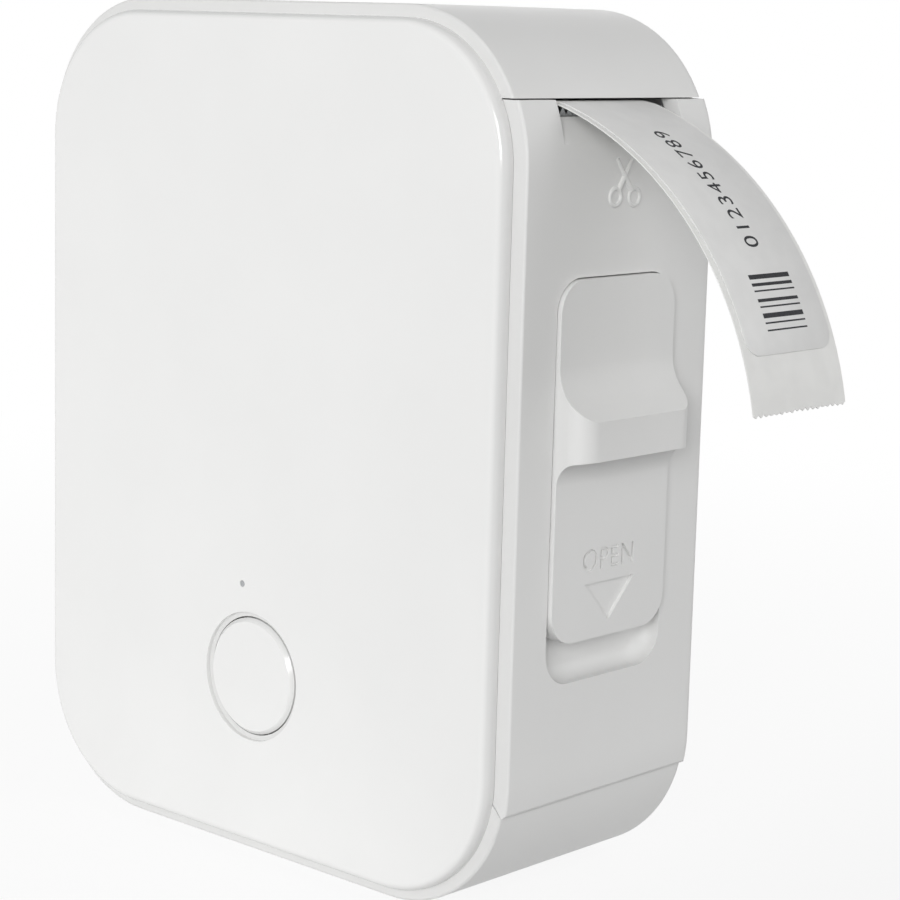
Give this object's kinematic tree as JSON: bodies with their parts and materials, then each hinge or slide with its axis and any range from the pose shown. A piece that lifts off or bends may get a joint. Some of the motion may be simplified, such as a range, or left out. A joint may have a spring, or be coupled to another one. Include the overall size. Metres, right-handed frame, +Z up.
{
  "type": "thermal label printer",
  "caption": "Pocket thermal label printer with a rounded white case, round power button, hinged side lid with a slide latch, and a curling strip of labels",
  "frame": {"origin": "middle of the flat end that the printer stands on", "axes": "+Z up along the case's height, +X towards the side lid where labels leave, -Y out of the glossy face with the button"},
  "size_m": [0.095, 0.0315, 0.092],
  "materials": {
    "panel_gloss": "high-gloss moulded white",
    "case_white": "satin moulded white",
    "inner_white": "plain moulded off-white",
    "gear_plastic": "natural acetal",
    "steel": "bright steel",
    "brass_bush": "turned brass",
    "platen_rubber": "ground black rubber",
    "label_paper": "coated thermal paper",
    "core_card": "wound card",
    "board_green": "green solder mask",
    "dark_part": "black moulded",
    "plunger_grey": "grey moulded",
    "cell_foil": "foil pouch",
    "sink_aluminium": "stamped aluminium",
    "head_ceramic": "glazed ceramic plate",
    "light_clear": "clear light pipe"
  },
  "bodies": {
    "case": {"rear_housing": "case_white", "front_panel": "panel_gloss", "inner_frame": "inner_white", "main_board": "board_green", "battery_cell": "cell_foil", "charging_socket": "steel", "tact_switch": "dark_part", "status_light": "light_clear", "stepper_motor": "steel", "gear_axle": "steel", "head_pivot_pin": "steel", "head_springs": "steel", "lid_hinge_pin": "steel", "case_screws": "steel", "board_screws": "steel", "motor_screws": "steel", "gap_sensor": "dark_part", "label_web": "label_paper"},
    "side_lid": {"lid_shell": "case_white", "lid_frame": "inner_white", "lid_screws": "steel", "tear_bar": "steel", "platen_bushes": "brass_bush", "label_strip": "label_paper", "latch_springs": "steel"},
    "platen": {"platen_shaft": "steel", "platen_sleeve": "platen_rubber", "platen_gear": "gear_plastic"},
    "latch": {"latch_slider": "case_white", "latch_hooks": "inner_white"},
    "button": {"power_button": "panel_gloss", "switch_plunger": "plunger_grey"},
    "motor_rotor": {"motor_pinion": "gear_plastic"},
    "two_step_gear": {"reduction_gear": "gear_plastic"},
    "roll": {"label_roll": "label_paper", "roll_core": "core_card", "roll_spindle": "inner_white"},
    "print_head": {"head_heat_sink": "sink_aluminium", "thermal_head": "head_ceramic"}
  },
  "joints": [
    {"name": "lid_hinge", "type": "hinge", "parent": "case", "child": "side_lid", "pos_m": [0.0295, 0, 0.0084], "axis": [0, 1, 0], "range_deg": [0, 60]},
    {"name": "latch_slide", "type": "slide", "parent": "side_lid", "child": "latch", "axis": [0, 0, -1], "range_m": [0, 0.0036], "stiffness_N_per_m": 200, "springref_m": -0.003, "deforming": ["latch_springs"]},
    {"name": "button_press", "type": "slide", "parent": "case", "child": "button", "axis": [0, 1, 0], "range_m": [0, 0.00035], "stiffness_N_per_m": 500, "springref_m": -0.001},
    {"name": "head_float", "type": "hinge", "parent": "case", "child": "print_head", "pos_m": [0.009, 0, 0.0851], "axis": [0, -1, 0], "range_deg": [0, 1.5], "stiffness_Nm_per_rad": 1, "springref_deg": -5.73, "deforming": ["head_springs"]},
    {"name": "roll_spin", "type": "hinge", "parent": "case", "child": "roll", "pos_m": [-0.003, 0, 0.042], "axis": [0, 1, 0], "continuous": true},
    {"name": "platen_spin", "type": "hinge", "parent": "side_lid", "child": "platen", "pos_m": [0.02442, 0, 0.07861], "axis": [0, 1, 0], "continuous": true},
    {"name": "reduction_spin", "type": "hinge", "parent": "case", "child": "two_step_gear", "pos_m": [0.01802, 0, 0.07849], "axis": [0, 1, 0], "continuous": true},
    {"name": "motor_spin", "type": "hinge", "parent": "case", "child": "motor_rotor", "pos_m": [0.0195, 0, 0.069], "axis": [0, 1, 0], "continuous": true}
  ],
  "couplings": [
    {"joint": "platen_spin", "follows": "roll_spin", "ratio": 4.875},
    {"joint": "reduction_spin", "follows": "roll_spin", "ratio": -6.2679},
    {"joint": "motor_spin", "follows": "roll_spin", "ratio": 18.804}
  ]
}
